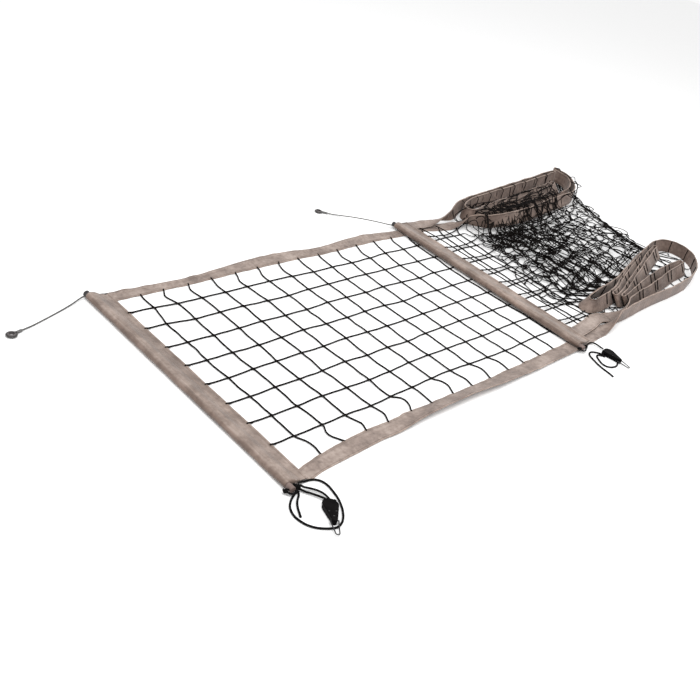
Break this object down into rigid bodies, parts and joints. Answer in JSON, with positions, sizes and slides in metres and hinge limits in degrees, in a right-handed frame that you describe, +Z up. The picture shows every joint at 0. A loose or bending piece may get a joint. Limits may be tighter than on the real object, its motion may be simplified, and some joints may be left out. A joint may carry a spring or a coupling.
{
  "type": "volleyball net",
  "caption": "Volleyball net partly rolled out on the ground, with hemmed fabric tapes, side pole sleeves, a tension cable with eyes, and bottom cords with hook tensioners.",
  "frame": {"origin": "on the ground under the middle of the net's outline, cords and cable ends left out", "axes": "+X along the net from its first end toward the folded pile, +Y from the bottom tape to the top tape, +Z up"},
  "size_m": [3.2176, 1.4441, 0.0887],
  "materials": {
    "net_twine": "braided black twine, matte",
    "band_fabric": "coated taupe fabric with a faint sheen",
    "cable_steel": "stranded steel cable",
    "ferrule_alu": "pressed sleeve, satin",
    "thimble_steel": "satin",
    "plug_plastic": "matte",
    "cap_plastic": "matte",
    "pole_fibre": "resin-bound glass fibre, satin",
    "cord_black": "braided black cord, matte",
    "tensioner_plastic": "moulded, matte",
    "roller_plastic": "matte",
    "wire_steel": "bright wire",
    "cam_metal": "cast, satin"
  },
  "bodies": {
    "main_net": {"main_mesh": "net_twine", "top_tape": "band_fabric", "bottom_tape": "band_fabric", "top_tape_folds": "band_fabric", "bottom_tape_folds": "band_fabric", "mesh_folds": "net_twine", "tension_cable": "cable_steel", "tension_cable_folds": "cable_steel", "left_sleeve": "band_fabric", "left_sleeve_plug": "plug_plastic", "left_cable_end": "cable_steel", "left_ferrule": "ferrule_alu", "left_thimble": "thimble_steel"},
    "returned_end": {"end_mesh": "net_twine", "end_top_tape": "band_fabric", "end_bottom_tape": "band_fabric", "end_cable": "cable_steel", "right_sleeve": "band_fabric", "right_sleeve_plug": "plug_plastic", "right_cable_end": "cable_steel", "right_ferrule": "ferrule_alu", "right_thimble": "thimble_steel"},
    "left_pole_set": {"left_pole": "pole_fibre", "left_pole_cap_top": "plug_plastic", "left_pole_cap_bottom": "cap_plastic", "left_cord": "cord_black", "left_knot": "cord_black", "left_stopper_knot": "cord_black", "left_tensioner_base": "tensioner_plastic", "left_tensioner_cover": "tensioner_plastic", "left_tensioner_screws": "wire_steel", "left_roller_pin": "wire_steel", "left_cam_pin": "wire_steel", "left_cam_spring": "wire_steel"},
    "left_roller_body": {"left_roller": "roller_plastic"},
    "left_cam_body": {"left_cam": "cam_metal"},
    "left_bail_body": {"left_bail": "wire_steel"},
    "right_pole_set": {"right_pole": "pole_fibre", "right_pole_cap_top": "plug_plastic", "right_pole_cap_bottom": "cap_plastic", "right_cord": "cord_black", "right_knot": "cord_black", "right_stopper_knot": "cord_black", "right_tensioner_base": "tensioner_plastic", "right_tensioner_cover": "tensioner_plastic", "right_tensioner_screws": "wire_steel", "right_roller_pin": "wire_steel", "right_cam_pin": "wire_steel", "right_cam_spring": "wire_steel"},
    "right_roller_body": {"right_roller": "roller_plastic"},
    "right_cam_body": {"right_cam": "cam_metal"},
    "right_bail_body": {"right_bail": "wire_steel"}
  },
  "joints": [
    {"name": "fold_out", "type": "hinge", "parent": "main_net", "child": "returned_end", "pos_m": [0.278, -0.042, 0.019], "axis": [0, 1, 0], "range_deg": [0, 90]},
    {"name": "left_pole_slide", "type": "slide", "parent": "main_net", "child": "left_pole_set", "axis": [-0.0192, -0.9998, 0], "range_m": [0, 0.9]},
    {"name": "left_roller_spin", "type": "hinge", "parent": "left_pole_set", "child": "left_roller_body", "pos_m": [-1.39973, -0.6657, 0.008], "axis": [0, 0, 1], "continuous": true},
    {"name": "left_cam_bite", "type": "hinge", "parent": "left_pole_set", "child": "left_cam_body", "pos_m": [-1.41673, -0.65743, 0.006], "axis": [0, 0, -1], "range_deg": [0, 20], "stiffness_Nm_per_rad": 0.02, "springref_deg": -20.05},
    {"name": "left_hook_swing", "type": "hinge", "parent": "left_pole_set", "child": "left_bail_body", "pos_m": [-1.43373, -0.70577, 0.008], "axis": [-0.848, 0.5299, 0], "range_deg": [0, 100]},
    {"name": "right_pole_slide", "type": "slide", "parent": "returned_end", "child": "right_pole_set", "axis": [-0.0349, -0.9994, 0], "range_m": [0, 0.9]},
    {"name": "right_roller_spin", "type": "hinge", "parent": "right_pole_set", "child": "right_roller_body", "pos_m": [0.10088, -0.61401, 0.008], "axis": [0, 0, 1], "continuous": true},
    {"name": "right_cam_bite", "type": "hinge", "parent": "right_pole_set", "child": "right_cam_body", "pos_m": [0.08198, -0.6137, 0.006], "axis": [0, 0, -1], "range_deg": [0, 20], "stiffness_Nm_per_rad": 0.02, "springref_deg": -20.05},
    {"name": "right_hook_swing", "type": "hinge", "parent": "right_pole_set", "child": "right_bail_body", "pos_m": [0.087, -0.66469, 0.008], "axis": [-0.9925, 0.1219, 0], "range_deg": [0, 100]}
  ]
}
